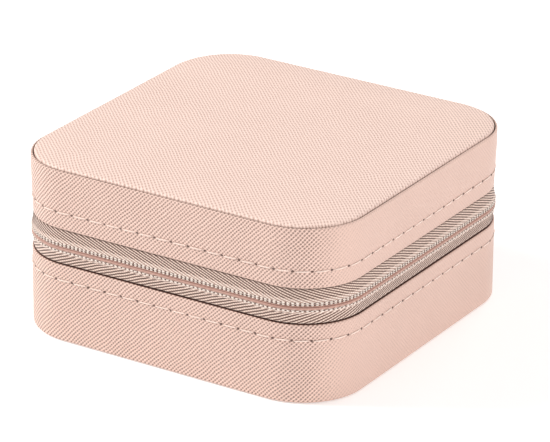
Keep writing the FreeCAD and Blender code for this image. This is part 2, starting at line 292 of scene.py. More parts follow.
SIDE_BRIGHT, SIDE_VALLEY = (0.88, 0.625, 0.535), (0.15, 0.085, 0.065)
# Painted light: the top's leather colours are lighter than the sides', for the stronger light on the
# top.
TOP_LIT_BRIGHT, TOP_LIT_VALLEY = (0.94, 0.715, 0.63), (0.46, 0.295, 0.24)
LEATHER_SIDE = leather("leather_side", "UV", SIDE_BRIGHT, SIDE_VALLEY, flat_light_fade=0.8)
LEATHER_TOP_LIT = leather("leather_top", "Object", TOP_LIT_BRIGHT, TOP_LIT_VALLEY, angle=-45, depth=0.12,
                      breaks=0.6, dash=1.6)
LEATHER_FLAT = leather("leather_flat", "Object", SIDE_BRIGHT, SIDE_VALLEY)
VELVET = velvet("velvet_ivory", (0.56, 0.47, 0.385), (0.88, 0.81, 0.72))
TAPE_DARK, TAPE_LIGHT = (0.13, 0.07, 0.053), (1.0, 0.78, 0.67)
# Angle of the ribs in degrees, and their pitch.
RIBS_LOW, RIBS_HIGH = (-22, 0.8), (-20, 0.66)
TAPE_LOW = woven("zip_tape_low", TAPE_DARK, TAPE_LIGHT, *RIBS_LOW)
TAPE_HIGH = woven("zip_tape_high", TAPE_DARK, TAPE_LIGHT, *RIBS_HIGH)
TAPE_PALE = woven("zip_tape_pale", (0.42, 0.28, 0.23), (1.0, 0.85, 0.76), *RIBS_HIGH)
THREAD = thread_look("thread_pink", (0.80, 0.60, 0.52), (0.98, 0.80, 0.71))
CREAM = thread_look("thread_cream", (0.80, 0.68, 0.60), (1.0, 0.93, 0.86))
NYLON = nylon("coil_nylon", (0.40, 0.215, 0.17), (0.58, 0.345, 0.28))
# Painted shade: dark brown for the gaps between the leather's edges and the zipper tapes.
GAP_SHADE = nylon("painted_gap_shade", (0.10, 0.04, 0.028), (0.18, 0.08, 0.058))
# Painted shade: olive brown for the groove of the seam round the top panel.
SEAM_SHADE = nylon("painted_seam_shade", (0.15, 0.085, 0.055), (0.24, 0.15, 0.10))
ROSE_GOLD = metal("rose_gold", (0.78, 0.50, 0.38), (0.92, 0.66, 0.52))
BOARD = board("greyboard", (0.42, 0.38, 0.33), (0.56, 0.51, 0.45))
SATIN = satin("pocket_satin", (0.66, 0.55, 0.47), (0.86, 0.77, 0.68))
# Painted shade: dark dots at the needle holes and pricks.
HOLE_SHADE = nylon("painted_hole_shade", (0.10, 0.055, 0.045), (0.16, 0.09, 0.07))

# ---------------------------------------------------------------- mesh helpers


def add_object(name, data):
    """New object in the scene, at the origin."""
    obj = bpy.data.objects.new(name, data)
    bpy.context.scene.collection.objects.link(obj)
    return obj


def add_mesh(name, verts, faces, looks, uv=None, index=None):
    """Mesh object from millimetre points, smooth, with its faces turned outwards. uv is in
    millimetres, and index picks the look of each face."""
    mesh = bpy.data.meshes.new(name)
    mesh.from_pydata((np.asarray(verts, float) * MM).tolist(), [], faces)
    if uv is not None:
        layer = mesh.uv_layers.new(name="cloth")
        layer.data.foreach_set("uv", np.asarray(uv, np.float32).ravel())
    for look in looks if isinstance(looks, (list, tuple)) else [looks]:
        mesh.materials.append(look)
    if index is not None:
        mesh.polygons.foreach_set("material_index", index)
    mesh.polygons.foreach_set("use_smooth", [True] * len(mesh.polygons))
    mesh.update()
    solid = bmesh.new()
    solid.from_mesh(mesh)
    if solid.calc_volume(signed=True) < 0:
        mesh.flip_normals()
    solid.free()
    return add_object(name, mesh)


def add_solid(name, solid, look):
    """Mesh object from a finished bmesh, smooth."""
    data = bpy.data.meshes.new(name)
    solid.to_mesh(data)
    solid.free()
    data.materials.append(look)
    data.polygons.foreach_set("use_smooth", [True] * len(data.polygons))
    return add_object(name, data)


def tube_faces(rings, around):
    """Quads that join rings of points into a tube, then a cap on each end."""
    faces = []
    for i in range(rings - 1):
        for j in range(around):
            k = (j + 1) % around
            faces.append((i * around + j, (i + 1) * around + j,
                          (i + 1) * around + k, i * around + k))
    caps = [list(range(around)), [(rings - 1) * around + j for j in reversed(range(around))]]
    return faces + caps


def cloth_faces(n, m):
    """Quads of a thin closed cloth, from two grids of n by m points, front and back."""
    back = n * m
    faces = []
    for i in range(n - 1):
        for j in range(m - 1):
            quad = (i * m + j, (i + 1) * m + j, (i + 1) * m + j + 1, i * m + j + 1)
            faces += [quad, tuple(back + k for k in reversed(quad))]
    rim = [i * m for i in range(n)] + [(n - 1) * m + j for j in range(1, m)]
    rim += [i * m + m - 1 for i in range(n - 2, -1, -1)] + list(range(m - 2, 0, -1))
    for p, q in zip(rim, rim[1:] + rim[:1]):
        faces.append((q, p, back + p, back + q))
    return faces


def finish_piece(obj, body, slot, *nodes):
    """Rides a piece on its body and hides the CAD nodes that it stands for. slot is not used."""
    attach(obj, body)
    if nodes:
        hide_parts(*nodes)
    return obj


def path(s):
    """Corner-centre line and outward direction at distances round the box. 0 is the middle
    of the back; the distance grows anticlockwise seen from above."""
    s = np.asarray(s, float) % LOOP
    knots = np.cumsum([0, CENTRE, ARC, 2 * CENTRE, ARC, 2 * CENTRE, ARC, 2 * CENTRE, ARC, CENTRE])
    i = np.clip(np.searchsorted(knots, s, side="right") - 1, 0, 8)
    along = s - knots[i]
    turn = np.where(i % 2 == 1, along / CORNER_R, 0.0)
    angle = math.pi / 2 * (1 + (i + 1) // 2 - (i % 2)) + turn
    normal = np.stack([np.cos(angle), np.sin(angle)], -1)
    tangent = np.stack([-np.sin(angle), np.cos(angle)], -1)
    start = np.array([(0, 1), (-1, 1), (-1, 1), (-1, -1), (-1, -1), (1, -1), (1, -1), (1, 1), (1, 1)])
    centre = start[i] * CENTRE
    straight = (i % 2 == 0)[..., None]
    return centre + np.where(straight, tangent * along[..., None], 0), normal


def place(s, inset, z):
    """Points at distances s round the box, at an inset from its outline and a height."""
    centre, normal = path(s)
    flat = centre + normal * (CORNER_R - np.asarray(inset, float))[..., None]
    return np.concatenate([flat, np.broadcast_to(z, flat.shape[:-1])[..., None]], -1)


def sweep(name, section, looks, s=None, push=None, paint=None):
    """Closed section of (inset, z) points carried round the box, or along part of it.
    push moves its points outwards, and paint picks the look of each strip from where the
    strip lies. The UV map is distance round the box by distance back along the section,
    counted from the height of the outermost point."""
    section = np.asarray(section, float)
    section = section[np.linalg.norm(section - np.roll(section, 1, 0), axis=1) > 0.004]
    closed = s is None
    s = np.arange(0, LOOP, LOOP / 740) if closed else s
    n, m = len(s), len(section)
    grid_s, inset = np.meshgrid(s, section[:, 0], indexing="ij")
    z = np.broadcast_to(section[:, 1], inset.shape)
    if push is not None:
        inset = inset - push(grid_s, z, inset)
    verts = place(grid_s, inset, z).reshape(-1, 3)
    run = np.concatenate([[0], np.cumsum(np.linalg.norm(np.diff(
        np.vstack([section, section[:1]]), axis=0), axis=1))])
    anchor = int(np.argmin(np.abs(section[:, 0] - section[:, 0].min()) + 0.001 * section[:, 1]))
    v_of = section[anchor, 1] + (run[anchor] - run)
    i = np.arange(n if closed else n - 1)
    j = np.arange(m)
    I, J = np.meshgrid(i, j, indexing="ij")
    I2, J2 = (I + 1) % n, (J + 1) % m
    faces = np.stack([I * m + J, I2 * m + J, I2 * m + J2, I * m + J2], -1).reshape(-1, 4)
    s_next = np.append(s[1:], LOOP) if closed else np.append(s[1:], s[-1])
    uv = np.stack([np.stack([s[I], v_of[J]], -1), np.stack([s_next[I], v_of[J]], -1),
                   np.stack([s_next[I], v_of[J + 1]], -1), np.stack([s[I], v_of[J + 1]], -1)], 2)
    uv = uv.reshape(-1, 2)
    faces = faces.tolist()
    if not closed:
        faces += [list(range(m)), [(n - 1) * m + k for k in reversed(range(m))]]
        uv = np.vstack([uv, section, section[::-1]])
    index = None
    if paint is not None:
        mid = (section + np.roll(section, -1, 0)) / 2
        mark = [int(paint(a, b)) for a, b in mid]
        index = mark * len(i) + [0] * (len(faces) - len(i) * m)
    return add_mesh(name, verts, faces, looks, uv, index)


def arc(cx, cz, r, a0, a1, n):
    """Points (inset, z) on an arc, angles in degrees from +inset towards +z."""
    a = np.radians(np.linspace(a0, a1, n))
    return [(cx + r * math.cos(t), cz + r * math.sin(t)) for t in a]


def rows(z0, z1, inset_at, fine_at=None):
    """Points down or up a face, closer together near a stitch row."""
    lo, hi = min(z0, z1), max(z0, z1)
    z = set(np.round(np.arange(lo, hi, 0.8), 3)) | {hi}
    if fine_at is not None:
        z = {v for v in z if abs(v - fine_at) > 1.3}
        z |= set(np.round(fine_at + np.arange(-1.2, 1.21, 0.15), 3))
    z = sorted(z, reverse=bool(z0 > z1))
    return [(inset_at(v), v) for v in z]


def soft_noise(s, z, size, amount):
    """Gentle unevenness that joins up round the box."""
    a = 2 * math.pi * s / LOOP
    k = LOOP / size / (2 * math.pi)
    out = np.zeros_like(s)
    for f, p, q in ((1.0, 0.3, 0.9), (1.7, 2.1, 1.6), (2.9, 4.4, 2.3)):
        out += np.sin(a * round(k * f) + p + q * z / size) / f
    return amount * out / 2


def stitch_push(z0):
    """Leather pulled in along a stitch row, and more at each needle hole."""
    count = round(LOOP / STITCH_PITCH)

    def push(s, z, inset):
        line = np.exp(-((z - z0) / 0.55) ** 2)
        phase = (s * count / LOOP) % 1.0
        near = np.minimum(phase, 1 - phase) * LOOP / count
        hole = np.exp(-(near / 0.45) ** 2) * np.exp(-((z - z0) / 0.35) ** 2)
        outer = inset < 0.9
        return np.where(outer, soft_noise(s, z, 14.0, 0.05) - 0.07 * line - 0.1 * hole, 0)
    return push


def threads(name, s_list, z, inset, length, radius, look, lift=0.0, slant=0.0, squash=0.75,
            around=8, rings=7):
    """Short rounded threads lying along the box's face, one per distance in s_list. lift is
    how far the middle rises from the face, slant is how far each end is off level, and squash
    is the thickness as a share of the width."""
    t = np.linspace(-1, 1, rings)
    a = np.linspace(0, 2 * math.pi, around, endpoint=False)
    T, A = np.meshgrid(t, a, indexing="ij")
    fat = np.sqrt(np.clip(1 - np.abs(T) ** 3.2, 0.02, 1))
    ds = T * length / 2
    dz = np.cos(A) * radius * fat + slant * T
    out = np.sin(A) * radius * squash * fat + lift * (1 - T ** 2)
    one = tube_faces(rings, around)
    tile = np.array([(ds.flat[k], (k % around) * 0.25) for face in one for k in face])
    verts, faces, uv = [], [], []
    for count, s0 in enumerate(s_list):
        verts.append(place(s0 + ds, np.full_like(ds, inset) - out, z + dz).reshape(-1, 3))
        faces += [[k + count * ds.size for k in face] for face in one]
        uv.append(tile + (s0, 0))
    return add_mesh(name, np.vstack(verts), faces, look, np.vstack(uv))


def disc(name, rings, look, push=None):
    """Closed panel from rings of (inset, z), joined to the middle at both ends. push gives
    how far its points move up."""
    s = np.arange(0, LOOP, LOOP / 420)
    loops = []
    steps = np.linspace(1, 0, 18)[1:-1]
    first, last = rings[0], rings[-1]

    def inward(ring):
        edge = place(s, np.full_like(s, ring[0]), np.full_like(s, ring[1]))
        return [np.column_stack([edge[:, :2] * t, edge[:, 2]]) for t in steps]
    for loop in reversed(inward(first)):
        loops.append(loop)
    for inset, z in rings:
        loops.append(place(s, np.full_like(s, inset), np.full_like(s, z)))
    loops += inward(last)
    verts = np.vstack(loops)
    n = len(s)
    faces = []
    for r in range(len(loops) - 1):
        a, b = r * n, (r + 1) * n
        faces += [(a + i, a + (i + 1) % n, b + (i + 1) % n, b + i) for i in range(n)]
    low, high = len(verts), len(verts) + 1
    verts = np.vstack([verts, [(0, 0, first[1]), (0, 0, last[1])]])
    faces += [(low, (i + 1) % n, i) for i in range(n)]
    top = (len(loops) - 1) * n
    faces += [(high, top + i, top + (i + 1) % n) for i in range(n)]
    if push is not None:
        verts[:, 2] += push(verts)
    return add_mesh(name, verts, faces, look)


def lean_in(z):
    """Inset of the lid's band at a height."""
    return LEAN * max(0.0, LEAN_TOP - z) / (LEAN_TOP - LID_EDGE)


# ---------------------------------------------------------------- leather outside
def build_leather():
    """Leather bands of base and lid, with their turned edges, threads, painted shade in the gaps
    at their edges and in the top seam's groove, and dark dots of painted shade at the needle holes.
    """
    top, r, low = BASE_EDGE, 0.5, 0.6
    base = [(0.98, 0.1)] + rows(0.8, top - 1.2, lambda z: 0.98)
    base += arc(r, top - r, r - 0.01, 0, 180, 9)
    base += rows(top - r - 0.1, low + 0.1, lambda z: 0.0, STITCH_LOWER)
    base += arc(low, low, low, 180, 270, 6)
    # Painted shade: the inner side of the base's turned edge is dark, for the gap against the tape.
    obj = sweep("base_leather", base, [LEATHER_SIDE, GAP_SHADE], push=stitch_push(STITCH_LOWER),
                paint=lambda inset, z: inset > 0.26 and z > top - 1.5)
    finish_piece(obj, "base", "leather_side", "base_side_skin")

    low, top = LID_EDGE, BAND_TOP
    foot = lean_in(low)
    lid = arc(foot + 0.29, low + 0.29, 0.29, 180, 360, 7)
    lid += rows(low + 1.0, top - 2.4, lambda z: 0.97)
    lid += [(0.97, top - 1.5), (0.72, top - 1.3), (0.7, top - 0.8)]
    lid += arc(0.36, top - 0.34, 0.34, 0, 180, 9)
    lid += rows(top - 0.6, low + 0.45, lean_in, STITCH_UPPER)
    # Painted shade: the lip's inner side is dark at the top, for the seam's groove, and at the
    # bottom, for the gap above the tape.
    obj = sweep("lid_leather", lid, [LEATHER_SIDE, GAP_SHADE, SEAM_SHADE], push=stitch_push(STITCH_UPPER),
                paint=lambda inset, z: inset > 0.5 and (2 if z > top - 3 else z < low + 1))
    finish_piece(obj, "lid", "leather_side", "lid_side_skin")

    count = round(LOOP / STITCH_PITCH)
    pitch = LOOP / count
    middles = (np.arange(count) + 0.5) * pitch
    holes = np.arange(count) * pitch
    for name, body, node, z in (("base", "base", "base_stitches", STITCH_LOWER),
                                ("lid", "lid", "lid_stitches", STITCH_UPPER)):
        inset = lean_in(z) if body == "lid" else 0.0
        obj = threads(name + "_thread", middles, z, inset + 0.06, pitch - 0.8, 0.23, THREAD,
                      lift=0.12, slant=0.1)
        finish_piece(obj, body, "thread", node)
        # Painted shade: a dark flattened bead in each needle hole.
        obj = threads(name + "_stitch_hole_shade", holes, z, inset + 0.1, 0.74, 0.33, HOLE_SHADE,
                      squash=0.4, rings=5)
        finish_piece(obj, body, "thread")


def crown_push(v):
    """Soft unevenness of the padded panel, fading out at its edge."""
    edge = np.maximum(np.abs(v[:, 0]), np.abs(v[:, 1]))
    keep = np.clip((HALF - 2 - edge) / 12, 0, 1) * (v[:, 2] > BAND_TOP - 0.2)
    bumps = [noise.noise(Vector((x * 0.035, y * 0.035, 1.7))) for x, y, _ in v]
    return keep * (0.18 * np.array(bumps) - 0.1)


def build_panels():
    """Padded panel on top, with the groove at its seam, and the leather underneath."""
    under, low = cad("lid_top_skin")[0][2], BAND_TOP + 0.7
    edge, flat = 2.3, 14.0
    rings = [(0.99, under + 0.06), (0.99, under + 0.6), (0.88, low - 0.9), (0.88, low - 0.62),
             (0.95, low - 0.42), (1.1, low - 0.25), (1.35, low - 0.12), (1.75, low - 0.03),
             (edge, low)]
    for inset in np.linspace(2.5, flat, 22):
        t = (inset - edge) / (flat - edge)
        rings.append((inset, low + (CROWN - low) * math.sin(t * math.pi / 2) ** 0.9))
    # Painted light: the top's leather look is painted lighter than the sides', for the light on top.
    obj = disc("top_panel", rings, LEATHER_TOP_LIT, crown_push)
    finish_piece(obj, "lid", "leather_top", "lid_top_skin", "lid_foam_pad")

    rings = [(1.02, 0.95), (1.02, 0.35), (1.12, 0.12), (1.4, 0.0), (6, 0.0)]
    obj = disc("base_under_panel", rings[::-1], LEATHER_FLAT)
    finish_piece(obj, "base", "leather_side", "base_bottom_skin")


# ---------------------------------------------------------------- zipper
def twill_push(angle, pitch):
    """Woven ribs that stand out on the tape, flattening towards the chain."""
    across = math.radians(angle + 90)

    def push(s, z, inset):
        wave = np.sin(2 * math.pi * (s * math.cos(across) + z * math.sin(across)) / pitch)
        keep = np.clip((np.abs(z - CHAIN) - 1.3) / 0.8, 0, 1)
        return np.where(inset < 1.2, 0.07 * keep * wave, 0)
    return push


def coil_turns(name, s_list, z_far, z_head, look):
    """Nylon turns: each is a closed flattened loop whose head reaches over the middle."""
    r, along = 0.25, 6
    a = np.linspace(0, 2 * math.pi, 16, endpoint=False)
    mid, half = (z_far + z_head) / 2, (z_head - z_far) / 2
    centre_in, half_in = 1.22, 0.27
    cz = mid + np.sign(np.cos(a)) * np.abs(np.cos(a)) ** 0.55 * (half - np.sign(half) * r)
    ci = centre_in - np.sign(np.sin(a)) * np.abs(np.sin(a)) ** 0.7 * half_in
    line = np.stack([ci, cz], -1)
    ahead = np.roll(line, -1, 0) - np.roll(line, 1, 0)
    ahead /= np.linalg.norm(ahead, axis=1)[:, None]
    side = np.stack([ahead[:, 1], -ahead[:, 0]], -1)
    b = np.linspace(0, 2 * math.pi, along, endpoint=False)
    n, m = len(a), along
    ds = np.tile(np.cos(b) * r, (n, 1))
    off = np.sin(b)[None, :, None] * r * side[:, None, :]
    pts = line[:, None, :] + off
    I, J = np.meshgrid(np.arange(n), np.arange(m), indexing="ij")
    quad = np.stack([I * m + J, ((I + 1) % n) * m + J, ((I + 1) % n) * m + (J + 1) % m,
                     I * m + (J + 1) % m], -1).reshape(-1, 4)
    verts, faces = [], []
    for k, s0 in enumerate(s_list):
        verts.append(place(s0 + ds, pts[..., 0], pts[..., 1]).reshape(-1, 3))
        faces += (quad + k * n * m).tolist()
    return add_mesh(name, np.vstack(verts), faces, look)


# The tape's outer face as (distance from the middle of the chain, inset): TAPE_BULGE is the
# woven part, from the leather's edge towards the chain, and the FOLDs are the edge that is
# turned over beside the chain, which ends at FOLD_EDGE.
TAPE_BULGE = ((4.9, 1.0), (4.7, 0.64), (4.5, 0.52), (4.2, 0.47), (3.8, 0.43), (3.4, 0.39),
              (3.0, 0.34), (2.6, 0.28), (2.2, 0.2), (1.8, 0.12), (1.4, 0.06))
FOLD_UPPER = ((0.72, 0.06), (0.5, 0.16), (0.36, 0.16), (0.3, -0.02), (0.2, -0.1), (0.1, -0.06))
FOLD_LOWER = ((0.85, 0.06), (0.74, 0.18), (0.68, 0.14), (0.62, -0.05), (0.46, -0.12),
              (0.2, -0.14), (0.06, -0.08))
FOLD_EDGE = 0.05
# Where a coil turn starts and ends. Its head reaches past the middle of the chain.
TURN_FAR, TURN_HEAD = 2.2, -0.4
# From TAPE_HIDDEN on, the tape is painted dark as shade in the gap at the leather's edge, and
# it runs on under the leather for TAPE_UNDER. The coil starts COIL_START from the tape's end.
TAPE_HIDDEN, TAPE_UNDER, COIL_START = 4.85, 1.4, 3.4


def build_zipper():
    """Both tapes with their coils, and the seam threads along the chain with dark dots of painted
    shade at their needle pricks.
    """
    start, end = TAPE_END, LOOP - TAPE_END
    s = np.arange(start, end, 0.3)
    turns = np.arange(start + COIL_START, end - COIL_START, COIL_PITCH)
    for body, upper in (("base", False), ("lid", True)):
        flip = 1 if upper else -1
        word = "upper" if upper else "lower"
        edge = LID_EDGE if upper else BASE_EDGE
        fold = FOLD_UPPER if upper else FOLD_LOWER
        # How far from the middle the smooth ridge reaches, and then the pale band.
        ridge, pale = (0.33, 2.2) if upper else (0.68, 1.9)

        def at(d):
            return CHAIN + flip * d
        hidden = edge + flip * TAPE_UNDER
        outer = [(0.97, v) for v in np.linspace(hidden, edge + flip * 0.3, 4)] + [(1.3, edge)]
        outer += [(i, at(d)) for d, i in TAPE_BULGE + fold]
        tip = [(0.12, at(FOLD_EDGE)), (0.5, at(FOLD_EDGE)), (0.68, at(0.25))]
        inner = [(0.7, at(d)) for d in (1.0, 2.0)] + [(0.9, at(2.6)), (1.5, at(3.0))]
        inner += [(1.58, at(d)) for d in (3.7, 4.8)] + [(1.58, hidden)]
        look = TAPE_HIGH if upper else TAPE_LOW
        push = twill_push(*(RIBS_HIGH if upper else RIBS_LOW))

        def strip(inset, z):
            d = abs(z - CHAIN)
            # Painted shade: past TAPE_HIDDEN the strip is dark, for the gap at the leather's edge.
            return 1 if d < ridge else 2 if d < pale else 3 if d > TAPE_HIDDEN else 0
        obj = sweep("zip_tape_" + word, outer + tip + inner, [look, NYLON, TAPE_PALE, GAP_SHADE], s,
                    push, strip)
        finish_piece(obj, body, "zip_tape", "zipper_tape_" + word)

        offset = COIL_PITCH / 2 if upper else 0.0
        obj = coil_turns("zip_coil_" + word, turns + offset, at(TURN_FAR), at(TURN_HEAD), NYLON)
        finish_piece(obj, body, "zip_coil", "zipper_coil_" + word)
        beads = turns + COIL_PITCH / 2
        for k, (d, size) in enumerate(((1.08, 0.21), (0.56, 0.18)) if upper else ((1.08, 0.21),)):
            obj = threads("zip_seam_%s_%d" % (word, k + 1), beads, at(d), 0.03, 0.8, size, CREAM,
                          lift=0.08, around=6, rings=5)
            finish_piece(obj, body, "thread")
            # Painted shade: dark dots at the needle pricks between the seam threads.
            obj = threads("zip_prick_shade_%s_%d" % (word, k + 1), turns, at(d), 0.03, 0.52, 0.24, HOLE_SHADE,
                          squash=0.5, around=6, rings=3)
            finish_piece(obj, body, "thread")


def build_hinge():
    """Fold strip at the back and its inner lining, sagging a little between base and lid."""
    half_band = (LID_EDGE - BASE_EDGE) / 2
    for name, node, slot, look, y0, y1, half, z0, z1 in (
            ("back_fold", "hinge_strip", "leather_side", LEATHER_SIDE, 48.5, 48.95, 25.9, 20.6, 33.4),
            ("back_fold_lining", "hinge_lining", "velvet", VELVET, 47.9, 48.38, 28.5, 21.9, 32.1)):
        x = np.linspace(-half, half, 70)
        z = np.linspace(z0, z1, 34)
        X, Z = np.meshgrid(x, z, indexing="ij")
        sag = 0.25 * np.cos((Z - CHAIN) / half_band * math.pi / 2).clip(0, 1)
        front = np.stack([X, np.full_like(X, y0), Z], -1)
        back = np.stack([X, y1 - sag * (1 + 0.2 * np.sin(X * 0.9)), Z], -1)
        verts = np.vstack([front.reshape(-1, 3), back.reshape(-1, 3)])
        faces = cloth_faces(*X.shape)
        uv = [(verts[i][0], verts[i][2]) for face in faces for i in face]
        obj = add_mesh(name, verts, faces, look, uv)
        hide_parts(node)
        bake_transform(obj)


# ---------------------------------------------------------------- inside
def pad_block(name, lo, hi, bevel, look, cuts=14):
    """Block with rounded edges, its long edges cut so that it shades evenly."""
    mesh = bmesh.new()
    bmesh.ops.create_cube(mesh, size=1.0)
    lo, hi = np.array(lo, float), np.array(hi, float)
    size, mid = hi - lo, (hi + lo) / 2
    for v in mesh.verts:
        v.co = Vector(mid + np.array(v.co) * size)
    bmesh.ops.bevel(mesh, geom=mesh.edges[:], offset=bevel, segments=3, profile=0.5,
                    affect="EDGES")
    long_edges = [e for e in mesh.edges if e.calc_length() > bevel * 2.5]
    bmesh.ops.subdivide_edges(mesh, edges=long_edges, cuts=cuts, use_grid_fill=True)
    bmesh.ops.scale(mesh, vec=(MM, MM, MM), verts=mesh.verts)
    return add_solid(name, mesh, look)


def corner_limit(x, inset):
    """How far from the middle the wall is at x, for a wall at an inset."""
    over = np.clip(np.abs(x) - CENTRE, 0, CORNER_R - inset)
    return CENTRE + np.sqrt((CORNER_R - inset) ** 2 - over ** 2)


def build_rolls():
    """Foam rolls with a round top, soft ends and slightly uneven velvet."""
    count, pitch, half = 7, 13.2, 6.42
    foot, end_round, end_draw = 0.8, 1.6, 1.3
    length, y_back, wall = 42.0, -3.45, 4.1
    # Places along a roll, closer together at its ends.
    start = np.array([0, 0.004, 0.012, 0.026])
    stations = np.concatenate([start, np.linspace(0.05, 0.95, 23), 1 - start[::-1]])
    for k in range(count):
        node = "ring_roll_%d" % (k + 1)
        lo, hi = cad(node)
        x0 = (k - count // 2) * pitch
        z0, z1 = lo[2], hi[2]
        outline = [(x0 + half * math.cos(a), z1 - half + half * math.sin(a))
                   for a in np.linspace(0, math.pi, 21)]
        side = np.linspace(z1 - half, z0 + foot, 7)[1:]
        outline += [(x0 - half, z) for z in side]
        outline += [(x0 - half + foot, z0), (x0 + half - foot, z0)]
        outline += [(x0 + half, z) for z in side[::-1]]
        outline = np.array(outline)
        mid = np.array([x0, (z0 + z1) / 2])
        verts = []
        for t in stations:
            bare = max(0.0, 1 - min(t, 1 - t) * length / end_round)
            shrink = end_draw * (1 - math.sqrt(1 - bare ** 2))
            p = mid + (outline - mid) * (1 - shrink / half)
            limit = -corner_limit(p[:, 0], wall)
            y = limit + (y_back - limit) * t
            wave = 0.14 * np.sin(y * 0.55 + k * 1.9) * np.clip((p[:, 1] - 10) / 8, 0, 1)
            verts.append(np.column_stack([p[:, 0], y, p[:, 1] - 0.15 + wave]))
        faces = tube_faces(len(stations), len(outline))
        obj = add_mesh("roll_%d" % (k + 1), np.vstack(verts), faces, VELVET)
        finish_piece(obj, "base", "velvet", node)


def fuzz(s, z, inset):
    """Push that makes velvet slightly uneven."""
    return soft_noise(s, z, 9.0, 0.06)


def build_linings():
    """Velvet on walls, rims, floor and ceiling, and on the partition, dividers and ribs."""
    board, face, cove = 3.02, 3.8, 0.8
    lo, hi = cad("base_lining")
    rim = hi[2]
    wall = [(board, 3.0), (board, rim - 0.82), (1.66, rim - 0.82)]
    wall += arc(2.1, rim - 0.42, 0.42, 180, 90, 5) + arc(3.32, rim - 0.48, 0.48, 90, 0, 5)
    wall += [(face, z) for z in np.linspace(rim - 1.2, 4.2, 12)]
    wall += arc(face + cove, 4.2, cove, 180, 270, 5) + [(6.0, 3.36), (6.0, 3.0)]
    obj = sweep("base_velvet", wall, VELVET, push=fuzz)
    finish_piece(obj, "base", "velvet", "base_lining")
    obj = disc("base_velvet_floor", [(5.0, 2.7), (5.0, 3.2), (5.6, 3.38), (9, 3.4)], VELVET)
    finish_piece(obj, "base", "velvet")

    lo, hi = cad("lid_lining")
    rim = lo[2]
    wall = [(board, hi[2] - 0.4), (board, rim + 0.82), (1.66, rim + 0.82)]
    wall += arc(2.1, rim + 0.42, 0.42, 180, 270, 5) + arc(3.32, rim + 0.48, 0.48, 270, 360, 5)
    wall += [(face, z) for z in np.linspace(rim + 1.2, CEILING - cove, 9)]
    wall += arc(face + cove, CEILING - cove, cove, 180, 90, 5)
    wall += [(6.0, CEILING + 0.04), (6.0, hi[2] - 0.4)]
    obj = sweep("lid_velvet", wall, VELVET, push=fuzz)
    finish_piece(obj, "lid", "velvet", "lid_lining")
    rings = [(9, CEILING), (5.6, CEILING + 0.02), (5.0, CEILING + 0.2), (5.0, hi[2] - 0.1)]
    obj = disc("lid_velvet_ceiling", rings, VELVET)
    finish_piece(obj, "lid", "velvet")

    lo, hi = cad("partition")
    obj = pad_block("partition_wall", lo + (0.1, 0.1, 0), hi - (0.1, 0.1, 0), 0.9, VELVET)
    finish_piece(obj, "base", "velvet", "partition")
    for side in ("left", "right"):
        lo, hi = cad("divider_" + side)
        obj = pad_block("lift_out_" + side, lo, hi, 0.7, VELVET)
        finish_piece(obj, "divider_" + side, "velvet", "divider_" + side)

    lo, hi = cad("divider_guides")
    divider_x, near, far, wide, reach = 15.5, -2.5, 1.3, 1.2, 1.4
    pieces = []
    for side in (-1, 1):
        for x in (side * divider_x + near, side * divider_x + far):
            for y0, y1 in ((lo[1], lo[1] + reach), (hi[1] - reach, hi[1])):
                pieces.append(pad_block("rib", (x, y0, lo[2]), (x + wide, y1, hi[2]), 0.45,
                                        VELVET, cuts=2))
    obj = join("guide_ribs", pieces)
    finish_piece(obj, "base", "velvet", "divider_guides")


def join(name, objects):
    """One piece from several of the same look."""
    whole = bmesh.new()
    for o in objects:
        whole.from_mesh(o.data)
        look = o.data.materials[0]
        bpy.data.objects.remove(o)
    return add_solid(name, whole, look)


def build_pocket():
    """Satin pocket, gathered into a ribbed elastic hem at its mouth."""
    lo, hi = cad("lid_pocket")
    n, m = 220, 60
    u, v = np.linspace(0, 1, n), np.linspace(0, 1, m)
    U, V = np.meshgrid(u, v, indexing="ij")
    x = lo[0] + 0.5 + (hi[0] - lo[0] - 1.0) * U
    y = lo[1] - 0.6 + (hi[1] - lo[1] + 0.1) * V
    edge = np.minimum(np.minimum(U, 1 - U) * 80, (1 - V) * 39)
    drop = 2.3 * (1 - np.exp(-edge / 3.0)) * (0.72 + 0.28 * (1 - V))
    # Small gathers at the mouth, over fewer and softer folds.
    gather = 0.34 * np.sin(U * 2 * math.pi * 25) * np.exp(-V * 2.4)
    gather += 0.18 * np.sin(U * 2 * math.pi * 11 + 3 * V) * (1 - V)
    z = CEILING - 0.25 - drop + gather * np.clip(edge / 2, 0, 1)
    under = np.stack([x, y, z - 0.15], -1)
    over = np.stack([x, y, z + 0.15], -1)
    verts = np.vstack([over.reshape(-1, 3), under.reshape(-1, 3)])
    pocket = add_mesh("pocket_cloth", verts, cloth_faces(n, m), SATIN)
    finish_piece(pocket, "lid", "pocket_cloth", "lid_pocket")

    lo, hi = cad("pocket_elastic")
    mid = (lo + hi) / 2
    around, rib_pitch = 14, 1.6
    a = np.linspace(0, 2 * math.pi, around, endpoint=False)
    xs = np.linspace(lo[0], hi[0], 321)
    verts = []
    for x in xs:
        rib = 1 + 0.12 * math.sin(x * 2 * math.pi / rib_pitch)
        thin = min(1.0, (40.2 - abs(x)) / 1.2)
        verts.append(np.column_stack([np.full(around, x), mid[1] + 0.72 * thin * rib * np.cos(a),
                                      mid[2] + 0.66 * thin * rib * np.sin(a)]))
    hem = add_mesh("pocket_hem", np.vstack(verts), tube_faces(len(xs), around), SATIN)
    finish_piece(hem, "lid", "elastic", "pocket_elastic")


